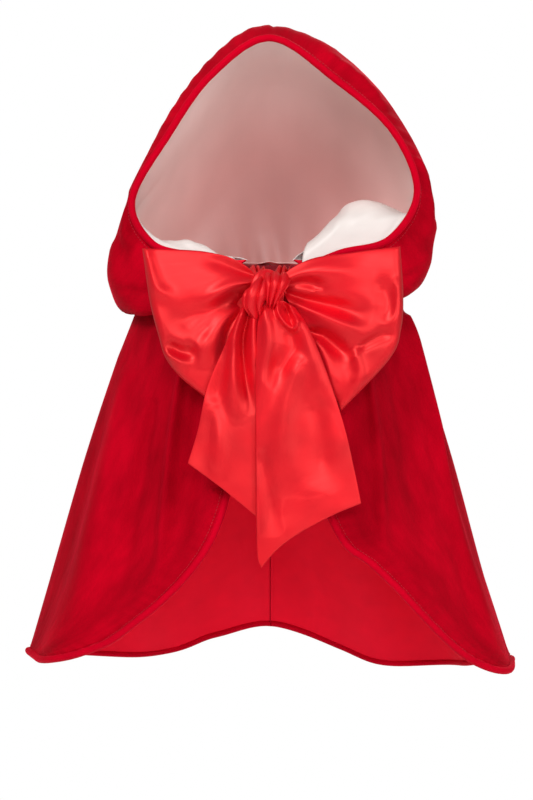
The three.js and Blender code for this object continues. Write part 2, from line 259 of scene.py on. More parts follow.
def paint_lining_shade(material):
    """Deep inside the hood the ivory turns a darker rose: painted shade and painted red bounce light from
    the velvet, set by place, not by rendered light. Low at the front, on the shoulder pouches, a flat grey
    darkens it: painted shade.
    """
    tree = material.node_tree
    shader = tree.nodes["Principled BSDF"]
    place = tree.nodes.new("ShaderNodeTexCoord")
    split = tree.nodes.new("ShaderNodeSeparateXYZ")
    tree.links.new(place.outputs["Object"], split.inputs[0])
    # rose and darker towards the back of the hood: painted shade and painted red bounce light
    along = tree.nodes.new("ShaderNodeMapRange")
    tree.links.new(split.outputs["Y"], along.inputs["Value"])
    along.inputs["From Min"].default_value = -0.075
    along.inputs["From Max"].default_value = 0.11
    shade_and_bounce = tree.nodes.new("ShaderNodeValToRGB")
    tree.links.new(along.outputs["Result"], shade_and_bounce.inputs["Fac"])
    stops = shade_and_bounce.color_ramp.elements
    stops[0].position, stops[0].color = 0.0, (1.0, 0.98, 0.97, 1)
    stops[1].position, stops[1].color = 1.0, (0.78, 0.40, 0.39, 1)
    middle = stops.new(0.45)
    middle.color = (1.0, 0.80, 0.78, 1)
    height = tree.nodes.new("ShaderNodeMapRange")
    tree.links.new(split.outputs["Z"], height.inputs["Value"])
    height.inputs["From Min"].default_value = 0.045
    height.inputs["From Max"].default_value = 0.075
    behind = tree.nodes.new("ShaderNodeMapRange")
    tree.links.new(split.outputs["Y"], behind.inputs["Value"])
    behind.inputs["From Min"].default_value = -0.02
    behind.inputs["From Max"].default_value = 0.03
    either = tree.nodes.new("ShaderNodeMath")
    either.operation = "MAXIMUM"
    tree.links.new(height.outputs["Result"], either.inputs[0])
    tree.links.new(behind.outputs["Result"], either.inputs[1])
    # low at the front, where neither mask reaches, the ivory is multiplied by a flat grey: painted shade;
    # elsewhere by the painted rose shade and bounce light
    tone = tree.nodes.new("ShaderNodeMix")
    tone.data_type = "RGBA"
    tone.inputs[6].default_value = (0.74, 0.72, 0.71, 1)
    tree.links.new(either.outputs[0], tone.inputs[0])
    tree.links.new(shade_and_bounce.outputs["Color"], tone.inputs[7])
    shaded_colour = tree.nodes.new("ShaderNodeMix")
    shaded_colour.data_type = "RGBA"
    shaded_colour.blend_type = "MULTIPLY"
    shaded_colour.inputs[0].default_value = 1
    tree.links.new(shader.inputs["Base Color"].links[0].from_socket, shaded_colour.inputs[6])
    tree.links.new(tone.outputs[2], shaded_colour.inputs[7])
    tree.links.new(shaded_colour.outputs[2], shader.inputs["Base Color"])


def tape_material(name, colour):
    """A ribbed woven tape, or a thread."""
    n = Nodes(name)
    rib = n.add("ShaderNodeTexWave", {"wave_type": "BANDS"}, Vector=n.cloth_uv((700, 700, 1)), Scale=1.0)
    tone = n.noise(n.cloth_uv((60, 60, 1)), 1.0, 3)
    n.feed(n.shader, "Base Color", n.mix(tone, colour, tuple(c * 0.6 for c in colour)))
    n.shader.inputs["Roughness"].default_value = 0.85
    n.feed(n.shader, "Normal", n.bump(rib.outputs["Fac"], 0.5, 0.0005))
    return n.material


# the last colour of each velvet is its painted highlight for the brightest streaks
VELVET = velvet_material("red_velvet", (0.25, 0.0, 0.005), (0.54, 0.0, 0.012), (0.92, 0.003, 0.03))
WELT = velvet_material("velvet_welt", (0.40, 0.0, 0.010), (0.60, 0.0, 0.015), (0.88, 0.003, 0.028))
KNIT = knit_back_material("velvet_back", (0.92, 0.0, 0.024))
SATIN = satin_material("red_satin", (0.56, 0.0, 0.011), (0.82, 0.002, 0.016), 0.38, 0.35, (1.0, 0.50, 0.36))
LINING = satin_material("ivory_satin", (0.84, 0.79, 0.76), (0.94, 0.90, 0.87), 0.42, 0.0, (1.0, 0.97, 0.95))
# painted shade and painted red bounce light in the lining
paint_lining_shade(LINING)
TAPE = tape_material("woven_tape", (0.30, 0.0, 0.012))
THREAD = tape_material("red_thread", (0.62, 0.002, 0.02))


# ---------------------------------------------------------------- shapes

def smooth_line(points, count):
    """count points spaced evenly along a smooth curve through the given points."""
    p = np.array(points, float)
    p = np.vstack([2 * p[0] - p[1], p, 2 * p[-1] - p[-2]])
    t = np.linspace(0, 1, 24, endpoint=False)[:, None]
    pieces = []
    for a, b, c, d in zip(p[:-3], p[1:-2], p[2:-1], p[3:]):
        cubic = (2 * b) + (c - a) * t + (2 * a - 5 * b + 4 * c - d) * t**2 + (3 * b - a - 3 * c + d) * t**3
        pieces.append(cubic / 2)
    fine = np.vstack(pieces + [p[-2][None]])
    return spaced(fine, count)


def spaced(line, count):
    """count points spaced evenly along a polyline."""
    steps = np.linalg.norm(np.diff(line, axis=0), axis=1)
    length = np.concatenate([[0], np.cumsum(steps)])
    at = np.linspace(0, length[-1], count)
    return np.stack([np.interp(at, length, line[:, k]) for k in range(line.shape[1])], 1)


def smoothstep(x, low, high):
    t = np.clip((x - low) / (high - low), 0, 1)
    return t * t * (3 - 2 * t)


def ripple(u, v, seed, scale, waves=7):
    """Smooth seeded noise between about -1 and 1, from a few crossing waves."""
    random = np.random.RandomState(seed)
    total = 0
    for _ in range(waves):
        angle = random.uniform(0, math.pi)
        frequency = scale * random.uniform(0.6, 1.6)
        phase = random.uniform(0, 2 * math.pi)
        total = total + np.sin(frequency * (u * math.cos(angle) + v * math.sin(angle)) + phase)
    return total / math.sqrt(waves * 2)


def grid_normals(grid):
    across = np.gradient(grid, axis=1)
    along = np.gradient(grid, axis=0)
    normal = np.cross(across, along)
    return normal / (np.linalg.norm(normal, axis=2, keepdims=True) + 1e-12)


def grid_uv(grid):
    across = np.linalg.norm(np.diff(grid, axis=1), axis=2).mean(0)
    along = np.linalg.norm(np.diff(grid, axis=0), axis=2).mean(1)
    u = np.concatenate([[0], np.cumsum(across)])
    v = np.concatenate([[0], np.cumsum(along)])
    return np.stack(np.meshgrid(u, v), 2)


def add_piece(name, vertices, faces, uv, materials, face_material=None):
    """Makes a smooth-shaded piece from vertices, a list of faces and a cloth coordinate for each vertex."""
    mesh = bpy.data.meshes.new(name)
    mesh.from_pydata(np.asarray(vertices).tolist(), [], faces)
    layer = mesh.uv_layers.new(name="cloth")
    corners = np.zeros(len(mesh.loops), np.int32)
    mesh.loops.foreach_get("vertex_index", corners)
    layer.data.foreach_set("uv", np.asarray(uv, np.float32)[corners].ravel())
    for material in materials:
        mesh.materials.append(material)
    if face_material is not None:
        mesh.polygons.foreach_set("material_index", np.asarray(face_material, np.int32))
    mesh.polygons.foreach_set("use_smooth", np.ones(len(mesh.polygons), bool))
    mesh.update()
    piece = bpy.data.objects.new(name, mesh)
    bpy.context.collection.objects.link(piece)
    return piece


def sheet_piece(name, grid, thickness, materials, outward):
    """A closed sheet of cloth: the grid is its face, and its back lies a thickness behind.

    outward is +1 where the grid's own normals already point out of the face, else -1.
    A second material, where given, covers the back.
    """
    rows, columns = grid.shape[:2]
    normal = grid_normals(grid) * outward
    back = grid - normal * thickness
    count = rows * columns
    index = np.arange(count).reshape(rows, columns)
    a, b = index[:-1, :-1].ravel(), index[:-1, 1:].ravel()
    c, d = index[1:, 1:].ravel(), index[1:, :-1].ravel()
    face = np.stack([a, b, c, d], 1)
    if outward < 0:
        face = face[:, ::-1]
    rim = np.concatenate([index[0, :], index[1:, -1], index[-1, -2::-1], index[-2:0:-1, 0]])
    following = np.roll(rim, -1)
    wall = np.stack([following, rim, rim + count, following + count], 1)
    if outward < 0:
        wall = wall[:, ::-1]
    faces = np.vstack([face, face[:, ::-1] + count, wall])
    uv = grid_uv(grid).reshape(-1, 2)
    kinds = None
    if len(materials) > 1:
        kinds = np.concatenate([np.zeros(len(face)), np.ones(len(face)), np.zeros(len(wall))])
    vertices = np.vstack([grid.reshape(-1, 3), back.reshape(-1, 3)])
    return add_piece(name, vertices, faces.tolist(), np.vstack([uv, uv]), materials, kinds)


def tube_piece(name, path, radius, sides, material):
    """A round welt along a path, with closed ends."""
    path = np.asarray(path, float)
    count = len(path)
    tangent = np.gradient(path, axis=0)
    tangent /= np.linalg.norm(tangent, axis=1, keepdims=True)
    side = np.cross(tangent, np.array([0.0, 0.0, 1.0]))
    weak = np.linalg.norm(side, axis=1) < 0.05
    side[weak] = np.cross(tangent[weak], np.array([1.0, 0.0, 0.0]))
    for i in range(1, count):
        carried = side[i - 1] - tangent[i] * np.dot(side[i - 1], tangent[i])
        side[i] = carried / np.linalg.norm(carried)
    side[0] /= np.linalg.norm(side[0])
    up = np.cross(side, tangent)
    turn = np.linspace(0, 2 * math.pi, sides, endpoint=False)
    ring = (
        path[:, None, :]
        + side[:, None, :] * (np.cos(turn)[None, :, None] * radius)
        + up[:, None, :] * (np.sin(turn)[None, :, None] * radius)
    )
    index = np.arange(count * sides).reshape(count, sides)
    around = np.roll(index, -1, axis=1)
    faces = np.stack([index[:-1], around[:-1], around[1:], index[1:]], 2).reshape(-1, 4).tolist()
    faces.append(index[0][::-1].tolist())
    faces.append(index[-1].tolist())
    length = np.concatenate([[0], np.cumsum(np.linalg.norm(np.diff(path, axis=0), axis=1))])
    u = np.broadcast_to(turn * radius, (count, sides))
    v = np.broadcast_to(length[:, None], (count, sides))
    uv = np.stack([u, v], 2).reshape(-1, 2)
    return add_piece(name, ring.reshape(-1, 3), faces, uv, [material])


def distance_to_line(x, z, line):
    """Distance from each (x, z) to a polyline, and how far along it the nearest point is, 0 to 1."""
    line = np.array(line, float)
    steps = np.linalg.norm(np.diff(line, axis=0), axis=1)
    start = np.concatenate([[0], np.cumsum(steps)])
    best = np.full(x.shape, 1e9)
    share = np.zeros(x.shape)
    for i, (p, q) in enumerate(zip(line[:-1], line[1:])):
        d = q - p
        t = np.clip(((x - p[0]) * d[0] + (z - p[1]) * d[1]) / (d @ d), 0, 1)
        gap = np.hypot(x - p[0] - t * d[0], z - p[1] - t * d[1])
        closer = gap < best
        best = np.where(closer, gap, best)
        share = np.where(closer, (start[i] + t * steps[i]) / start[-1], share)
    return best, share


def creased(x, z, creases):
    """The sum of soft creases: each is (line, height, width at its start, width at its end)."""
    total = np.zeros(x.shape)
    for line, height, narrow, wide in creases:
        fine = smooth_line(line, 24)
        gap, share = distance_to_line(x, z, fine)
        width = narrow + (wide - narrow) * share
        fade = smoothstep(share, -0.15, 0.08) * (1 - smoothstep(share, 0.6, 1.05))
        total += height * np.exp(-((gap / width) ** 2)) * fade
    return total


# ---------------------------------------------------------------- hood

WELT_RADIUS = 3.7 * MM
# how far a row of stitches runs from the cloth's edge, mm
STITCH_INSET = 6.0
# The hood hangs on ribs, each a curve of (x, y, z) in mm over the head, from the throat on the
# wearer's left to the throat on the right. The first rib is the rim, the last the neck seam.
HOOD_LEFT = [
    [(30, -62, -14), (72, -62, 4), (122, -64, 18), (150, -69, 66), (125, -74, 128), (66, -78, 180)],
    [(34, -66, -22), (82, -70, -32), (138, -56, -33), (172, -42, 42), (139, -46, 138), (76, -50, 209)],
    [(38, -62, -26), (92, -56, -36), (155, -14, -27), (166, 5, 42), (137, 0, 130), (78, -4, 200)],
    [(40, -56, -20), (96, -36, -34), (146, 24, -30), (148, 52, 22), (122, 56, 98), (72, 54, 162)],
    [(38, -50, -12), (86, -22, -24), (122, 40, -34), (118, 76, -18), (98, 98, 36), (58, 106, 88)],
    [(30, -48, -6), (66, -20, -12), (84, 18, -18), (80, 50, -24), (64, 88, -30), (36, 112, -22)],
    [(24, -46, -2), (53, -26, -2), (61, 4, -2), (56, 24, -2), (42, 40, -2), (22, 50, -2)],
]
HOOD_PEAK = [
    (0, -81, 221), (-2, -52, 239), (0, -6, 228), (0, 54, 194), (0, 108, 112), (0, 120, -10), (0, 52, -2),
]
HOOD_RIGHT = [
    [(-26, -62, -20), (-78, -62, 0), (-121, -63, 14), (-141, -68, 58), (-104, -73, 124), (-60, -78, 184)],
    [(-32, -66, -28), (-80, -70, -38), (-134, -58, -48), (-161, -44, 22), (-113, -48, 132), (-58, -52, 208)],
    [(-38, -62, -28), (-90, -56, -42), (-153, -16, -48), (-156, 4, 24), (-110, 0, 124), (-58, -4, 198)],
    [(-40, -56, -20), (-94, -36, -38), (-146, 24, -46), (-142, 52, 8), (-102, 56, 92), (-56, 54, 160)],
    [(-38, -50, -12), (-86, -22, -24), (-120, 40, -38), (-112, 76, -24), (-86, 98, 32), (-48, 106, 86)],
    [(-30, -48, -6), (-66, -20, -12), (-82, 18, -18), (-78, 50, -24), (-60, 88, -30), (-34, 112, -22)],
    [(-24, -46, -2), (-53, -26, -2), (-61, 4, -2), (-56, 24, -2), (-42, 40, -2), (-22, 50, -2)],
]
# folds in the droop beside the face: line (x, z), height, width at its start and end, mm
HOOD_CREASES = [
    ([(150, 100), (163, 68), (165, 36), (152, 6)], 4.5, 4, 8),
    ([(166, 78), (172, 48), (168, 14), (150, -14)], -4.0, 5, 8),
    ([(172, 36), (164, 2), (142, -24)], 4.0, 5, 8),
    ([(158, -8), (140, -20), (118, -22)], -3.0, 4, 7),
    ([(-132, 76), (-146, 48), (-148, 22), (-132, 2)], 4.0, 4, 7),
    ([(-146, 62), (-158, 30), (-154, 0), (-140, -18)], -4.0, 5, 9),
    ([(-160, 14), (-156, -20), (-134, -34)], 3.5, 6, 9),
    ([(-150, -30), (-128, -36), (-108, -32)], -2.5, 4, 7),
    ([(60, 206), (98, 178), (124, 146)], 2.5, 5, 8),
    ([(72, 210), (104, 184), (134, 142), (150, 106)], -2.0, 4, 7),
    ([(-60, 198), (-92, 156), (-124, 106)], 1.8, 4, 6),
]
HOOD_ACROSS = 220
HOOD_ALONG = 150


def hood_grid():
    """The hood's surface: rows run from the rim back to the neck, columns over the top."""
    lines = []
    for left, peak, right in zip(HOOD_LEFT, HOOD_PEAK, HOOD_RIGHT):
        lines.append(smooth_line(left + [peak] + right[::-1], HOOD_ACROSS + 1))
    ribs = np.stack(lines)
    columns = [smooth_line(ribs[:, k], HOOD_ALONG + 1) for k in range(ribs.shape[1])]
    return np.stack(columns, 1) * MM


def hood_detail(grid):
    """Seam puckers at the rim, the centre seam, soft drape folds and gathers at the neck, as a height."""
    rows, columns = grid.shape[:2]
    t = np.linspace(0, 1, rows)[:, None] * np.ones((1, columns))
    s = np.linspace(-1, 1, columns)[None, :] * np.ones((rows, 1))
    x, y, z = np.moveaxis(grid / MM, 2, 0)
    pucker = 0.7 * np.sin(s * 150 + 2 * ripple(s, t, 3, 9)) * np.exp(-(((t - 0.05) / 0.035) ** 2))
    seam = -1.6 * np.exp(-((s / 0.006) ** 2)) * smoothstep(t, 0.0, 0.03)
    side = smoothstep(np.abs(s), 0.35, 0.7)
    drape = 4.5 * ripple(s * 1.4, t * 0.5, 11, 9) * side
    drape *= smoothstep(t, 0.04, 0.3) * (1 - smoothstep(t, 0.85, 1))
    broad = 3.0 * ripple(s, t, 23, 5) * smoothstep(t, 0.05, 0.3) * (1 - smoothstep(t, 0.8, 1))
    gathers = 2.6 * np.sin(s * 46 + 3 * ripple(s, t, 5, 6))
    gathers *= smoothstep(t, 0.72, 0.9) * (1 - smoothstep(t, 0.97, 1.0))
    folds = creased(x, z, HOOD_CREASES) * smoothstep(-y, -40, 5) * smoothstep(t, 0.01, 0.06)
    calm = 1 - smoothstep(np.abs(s), 0.88, 0.99)
    return (pucker + seam + drape + broad + gathers + folds) * calm * MM


def rim_distance(grid):
    """Distance along the cloth from the rim to each point, in mm."""
    steps = np.linalg.norm(np.diff(grid / MM, axis=0), axis=2)
    return np.concatenate([np.zeros((1, grid.shape[1])), np.cumsum(steps, axis=0)])


def make_hood_rim(outer):
    """The welt around the face opening, and the row of stitches that holds it."""
    edge = spaced(outer[0], 300)
    middle = edge.mean(0)
    inward = middle - edge
    inward[:, 1] = 0
    inward /= np.linalg.norm(inward, axis=1, keepdims=True)
    path = edge + inward * 0.8 * MM + np.array([0, -2.2 * MM, 0])
    welt = tube_piece("hood_rim_welt", spaced(path, 420), WELT_RADIUS, 14, WELT)
    stitches = stitch_row("hood_rim_stitches", at_distance(outer, STITCH_INSET), -grid_normals(outer)[2])
    return welt, stitches


def at_distance(grid, distance):
    """The line on a grid that runs a distance (mm) from its first row."""
    gap = rim_distance(grid)
    line = []
    for k in range(grid.shape[1]):
        line.append([np.interp(distance, gap[:, k], grid[:, k, axis]) for axis in range(3)])
    return np.array(line)


def stitch_row(name, path, outward):
    """Small raised stitches along a path on the cloth; outward is the cloth's direction at each point."""
    pitch, length, radius = 3.4 * MM, 2.5 * MM, 0.42 * MM
    total = np.linalg.norm(np.diff(path, axis=0), axis=1).sum()
    count = int(total / pitch)
    fine = spaced(path, count * 4 + 1)
    run = np.concatenate([[0], np.cumsum(np.linalg.norm(np.diff(path, axis=0), axis=1))])
    places = np.linspace(0, run[-1], count * 4 + 1)
    normal = np.stack([np.interp(places, run, outward[:, k]) for k in range(3)], 1)
    vertices, faces, uv = [], [], []
    ring = np.linspace(0, 2 * math.pi, 6, endpoint=False)
    for i in range(count):
        start = fine[i * 4]
        along = fine[i * 4 + 3] - start
        step = np.linalg.norm(along)
        along = along / step
        up = normal[i * 4]
        across = np.cross(along, up)
        across /= np.linalg.norm(across)
        up = np.cross(across, along)
        first = len(vertices)
        for share, size, lift in ((0.0, 0.35, 0.0), (0.25, 1.0, 0.5), (0.75, 1.0, 0.5), (1.0, 0.35, 0.0)):
            centre = start + along * length * share + up * radius * lift
            for turn in ring:
                offset = across * math.cos(turn) + up * math.sin(turn)
                vertices.append(centre + offset * radius * size)
                uv.append((turn * radius, i * pitch + length * share))
        for level in range(3):
            for k in range(6):
                a = first + level * 6 + k
                b = first + level * 6 + (k + 1) % 6
                faces.append([a, b, b + 6, a + 6])
        faces.append([first + k for k in range(5, -1, -1)])
        faces.append([first + 18 + k for k in range(6)])
    return add_piece(name, vertices, faces, uv, [THREAD])


LINING_GAP = 5.0
# The lining puffs up in a loose pouch on the shoulders: its ribs there, from throat to side.
LINING_LEFT_POUCH = [
    [(32, -60, -10), (73, -60, 6), (120, -62, 21)],
    [(34, -56, 6), (78, -54, 36), (122, -54, 44)],
    [(38, -48, 16), (84, -34, 54), (128, -18, 52)],
    [(38, -44, 14), (80, -12, 46), (118, 18, 36)],
    [(34, -42, 8), (70, -4, 24), (94, 30, 8)],
    [(28, -42, 4), (58, -8, 6), (68, 18, -6)],
    [(23, -43, -1), (49, -25, -1), (56, 4, -1)],
]
LINING_RIGHT_POUCH = [
    [(-30, -60, -14), (-76, -60, 3), (-118, -61, 17)],
    [(-34, -56, -4), (-78, -54, 15), (-118, -54, 22)],
    [(-38, -48, 2), (-82, -34, 15), (-122, -16, 12)],
    [(-38, -44, 2), (-78, -12, 8), (-112, 18, -4)],
    [(-34, -42, 2), (-68, -4, 2), (-90, 30, -14)],
    [(-28, -42, 1), (-58, -8, -2), (-66, 18, -10)],
    [(-23, -43, -1), (-49, -25, -1), (-56, 4, -1)],
]


def keep_inside(points, shell, clearance):
    """Moves points in the grid's middle columns that are outside the shell, or too close to it, to a
    clearance inside; half that clearance by the shell's first two rows.
    """
    rim = shell.shape[1] * 2
    inward = grid_normals(shell).reshape(-1, 3)
    flat = shell.reshape(-1, 3)
    tree = KDTree(len(flat))
    for i, point in enumerate(flat):
        tree.insert(point, i)
    tree.balance()
    moved = points.copy()
    columns = points.shape[1]
    for place in np.ndindex(points.shape[:2]):
        if not 0.14 < place[1] / columns < 0.86:
            continue
        _, nearest, _ = tree.find(points[place])
        wanted = clearance if nearest > rim else 0.5 * clearance
        depth = np.dot(points[place] - flat[nearest], inward[nearest])
        if depth < wanted:
            moved[place] += inward[nearest] * (wanted - depth)
    return moved


def make_lining(shell):
    """The satin inside the hood: a little inside the shell over the head, pouched on the shoulders."""
    rows, columns = 121, HOOD_ACROSS + 1
    gap = (1.5 + (LINING_GAP - 1.5) * smoothstep(np.linspace(0, 1, shell.shape[0]), 0, 0.12)) * MM
    inside = (shell + grid_normals(shell) * gap[:, None, None]) / MM
    left = [smooth_line([rib[k] for rib in LINING_LEFT_POUCH], rows) for k in range(3)]
    right = [smooth_line([rib[k] for rib in LINING_RIGHT_POUCH], rows) for k in range(3)]
    lines = []
    for i in range(rows):
        row = inside[round(i * (shell.shape[0] - 1) / (rows - 1))]
        over = spaced(row, 61)[12:-12:2]
        lines.append(smooth_line([p[i] for p in left] + list(over) + [p[i] for p in right[::-1]], columns))
    grid = keep_inside(np.stack(lines) * MM, shell, 3.0 * MM)
    t = np.linspace(0, 1, rows)[:, None] * np.ones((1, columns))
    s = np.linspace(-1, 1, columns)[None, :] * np.ones((rows, 1))
    pouch = smoothstep(np.abs(s), 0.62, 0.8) * smoothstep(t, 0.04, 0.2) * (1 - smoothstep(t, 0.9, 1))
    wrinkle = 3.4 * ripple(s * 2, t, 41, 13) + 1.2 * ripple(s * 3, t, 43, 30)
    soft = 1.6 * (1 + ripple(s, t * 0.4, 47, 8)) * smoothstep(t, 0.05, 0.3) * (1 - smoothstep(t, 0.85, 1))
    gathers = 1.5 * np.sin(s * 52 + 3 * ripple(s, t, 5, 6))
    gathers *= smoothstep(t, 0.6, 0.85) * (1 - smoothstep(t, 0.97, 1.0))
    height = (wrinkle * pouch + soft + gathers) * (1 - smoothstep(np.abs(s), 0.84, 0.97)) * MM
    inner = grid + grid_normals(grid) * height[:, :, None]
    return sheet_piece("hood_satin_lining", inner, 0.7 * MM, [LINING], 1)


THROAT_DIP = 12


def throat_dip(degrees):
    """How far the neckline drops from the side of the neck to the throat, mm."""
    from_front = np.minimum(degrees, 360 - degrees)
    return THROAT_DIP * np.clip((90 - from_front) / 80, 0, 1)


def make_neck_binding():
    low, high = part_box("neck_binding")
    degrees = np.linspace(13, 347, 161)
    turn = np.radians(degrees)
    levels = np.linspace(high.z + 0.5 * MM, low.z, 9)
    bulge = np.sin(np.linspace(0, math.pi, 9)) * 0.8 * MM
    grid = np.zeros((9, 161, 3))
    for i, (z, out) in enumerate(zip(levels, bulge)):
        grid[i, :, 0] = np.sin(turn) * (high.x + out)
        grid[i, :, 1] = -np.cos(turn) * (high.y + out)
        grid[i, :, 2] = z - throat_dip(degrees) * MM
    return sheet_piece("neck_binding_tape", grid, 2.0 * MM, [TAPE], 1)


# ---------------------------------------------------------------- cape

NECK_SEAM_Z = -2
VELVET_THICKNESS = 1.6 * MM
# height, half width and half depth of the cape, mm
CAPE_RINGS = np.array([
    (-2, 60, 52), (-12, 80, 58), (-25, 104, 65), (-45, 138, 76), (-100, 159, 90),
    (-210, 192, 112), (-337, 229, 143), (-405, 249, 162), (-440, 262, 172),
], float)
# the cutaway front edges, from the throat to the hem tip (x, z), mm
RIGHT_EDGE = [
    (-11, -15), (-15, -70), (-26, -150), (-41, -230), (-52, -268), (-66, -296), (-86, -322), (-109, -345),
    (-134, -365), (-158, -383), (-178, -393), (-204, -403), (-236, -410), (-254, -408),
]
LEFT_EDGE = [
    (11, -15), (16, -70), (30, -150), (48, -228), (61, -264), (77, -290), (98, -305), (124, -330),
    (145, -353), (171, -379), (198, -402), (222, -416), (240, -421), (254, -418),
]
# the back hem dips in two soft flutes: angle from the front centre, height in mm
BACK_HEM = [
    (90, -418), (105, -422), (125, -433), (148, -439), (162, -424), (180, -396), (194, -410), (205, -427),
    (225, -426), (250, -415), (270, -408),
]
# crushed ridges on the fronts: line (x, z), height, width at the top and at the bottom, mm
FRONT_CREASES = [
    ([(-88, -110), (-98, -180), (-106, -260), (-112, -310), (-140, -352)], 4.5, 4, 7),
    ([(-118, -150), (-136, -240), (-152, -320), (-168, -370)], -3.0, 6, 11),
    ([(-70, -120), (-84, -240), (-92, -320)], -4.0, 9, 14),
    ([(-150, -120), (-178, -260), (-196, -380)], 3.5, 10, 18),
    ([(139, -58), (161, -140), (184, -240), (204, -320), (232, -405)], 5.5, 4, 7),
    ([(122, -80), (142, -200), (160, -330)], -3.5, 10, 16),
    ([(98, -110), (108, -200), (112, -280), (124, -325)], 3.0, 4, 7),
    ([(176, -180), (192, -270), (206, -350), (214, -400)], -2.5, 5, 9),
]


def cape_ring(z):
    """Half width and half depth of the cape at a height, mm."""
    order = CAPE_RINGS[::-1]
    width = np.interp(z, order[:, 0], order[:, 1])
    depth = np.interp(z, order[:, 0], order[:, 2])
    return width, depth


def cape_points(angle, z):
    """The cape's surface in mm: angle in degrees from the front centre, towards the wearer's left."""
    width, depth = cape_ring(z)
    turn = np.radians(angle)
    x = np.sin(turn) * width
    y = -np.cos(turn) * depth
    out_x = np.sin(turn) / width
    out_y = -np.cos(turn) / depth
    size = np.hypot(out_x, out_y)
    low = smoothstep(-z, 60, 400)
    back = smoothstep(-np.cos(turn), -0.1, 0.5)
    flutes = (3 + 8 * back) * low * np.sin(turn * 11 + 0.8 * np.sin(z / 90))
    soft = 2.6 * ripple(turn * 2, z / 260, 61, 4) * smoothstep(-z, 40, 160)
    front = smoothstep(np.cos(turn), 0.0, 0.25)
    lift = flutes + soft + 2.1 * creased(x, z, FRONT_CREASES) * front
    x = x + out_x / size * lift
    y = y + out_y / size * lift
    return np.stack([x, y, z + 0 * x], -1)


def front_grid(edge, side):
    """A front panel: rows run from neck to hem, columns from the cutaway edge to the side seam."""
    rows, columns = 170, 110
    line = smooth_line(edge, rows + 1)
    share = np.linspace(0, 1, columns + 1)[None, :]
    width, _ = cape_ring(line[:, 1])
    edge_angle = np.degrees(np.arcsin(np.clip(line[:, 0] / width, -1, 1)))[:, None]
    tip = line[-1, 1]
    seam_z = np.linspace(NECK_SEAM_Z, tip - side * 0.5, rows + 1)[:, None]
    angle = edge_angle + (side * 90 - edge_angle) * share
    z = line[:, 1][:, None] + (seam_z - line[:, 1][:, None]) * share
    return cape_points(angle, z) * MM


def back_grid(side):
    """Half of the back, from the side seam to the centre back."""
    rows, columns = 150, 130
    angle = np.linspace(90, 180, columns + 1)[None, :] * np.ones((rows + 1, 1))
    if side < 0:
        angle = 360 - angle
    hem_angles, hem_z = smooth_line(BACK_HEM, 200).T
    share = np.linspace(0, 1, rows + 1)[:, None]
    z = NECK_SEAM_Z + (np.interp(angle, hem_angles, hem_z) - NECK_SEAM_Z) * share
    points = cape_points(angle, z) * MM
    seam = 1.4 * MM * np.exp(-((np.abs(angle - 180) / 0.7) ** 2))
    points[:, :, 1] -= seam * smoothstep(share, 0.03, 0.1)
    return points


def hem_detail(grid, distance, outward):
    """Small puckers and a pressed groove beside the welt."""
    rows = np.linspace(0, 1, grid.shape[0])[:, None]
    near = distance / (distance + 4) * np.exp(-distance / 13)
    pucker = 1.8 * np.sin(rows * 230 + 3 * ripple(rows, rows * 0, 71, 30)) * near
    groove = -0.7 * np.exp(-(((distance - 7) / 1.3) ** 2))
    return grid + grid_normals(grid) * outward * ((pucker + groove) * MM)[:, :, None]


def make_front(word, side, edge):
    grid = front_grid(edge, side)
    steps = np.linalg.norm(np.diff(grid / MM, axis=1), axis=2)
    distance = np.concatenate([np.zeros((grid.shape[0], 1)), np.cumsum(steps, axis=1)], 1)
    outward = -side
    grid = hem_detail(grid, distance, outward)
    panel = sheet_piece(f"{word}_front_velvet", grid, VELVET_THICKNESS, [VELVET, KNIT], outward)
    path = spaced(grid[:, 0], 320)
    welt = tube_piece(f"{word}_front_welt", path, WELT_RADIUS, 14, WELT)
    line = at_distance(np.swapaxes(grid, 0, 1), STITCH_INSET)
    stitches = stitch_row(f"{word}_front_stitches", line, grid_normals(grid)[:, 2] * outward)
    return panel, welt, stitches


def make_back(word, side):
    grid = back_grid(side)
    outward = -side
    panel = sheet_piece(f"{word}_back_velvet", grid, VELVET_THICKNESS, [VELVET, KNIT], outward)
    path = spaced(grid[-1], 260)
    welt = tube_piece(f"{word}_back_hem_welt", path, WELT_RADIUS, 14, WELT)
    from_hem = at_distance(grid[::-1], STITCH_INSET)
    stitches = stitch_row(f"{word}_back_hem_stitches", from_hem, grid_normals(grid)[-2] * outward)
    return panel, welt, stitches


def make_seam_tape(word, side):
    z = np.linspace(-60, -400, 60)[:, None] * np.ones((1, 5))
    angle = 90 + np.linspace(-1.5, 2.5, 5)[None, :] * np.ones((60, 1))
    grid = cape_points(angle if side > 0 else 360 - angle, z) * MM
    inward = np.array([-side * 3.2 * MM, 0, 0])
    return sheet_piece(f"{word}_seam_tape", grid + inward, 0.8 * MM, [TAPE], 1)


# ---------------------------------------------------------------- bow

# The bow is placed from the middle of the CAD's knot, and its outlines are (x, z) in mm from there.
KNOT_LOW, KNOT_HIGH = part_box("bow_knot")
KNOT = np.array((KNOT_LOW + KNOT_HIGH) / 2) / MM
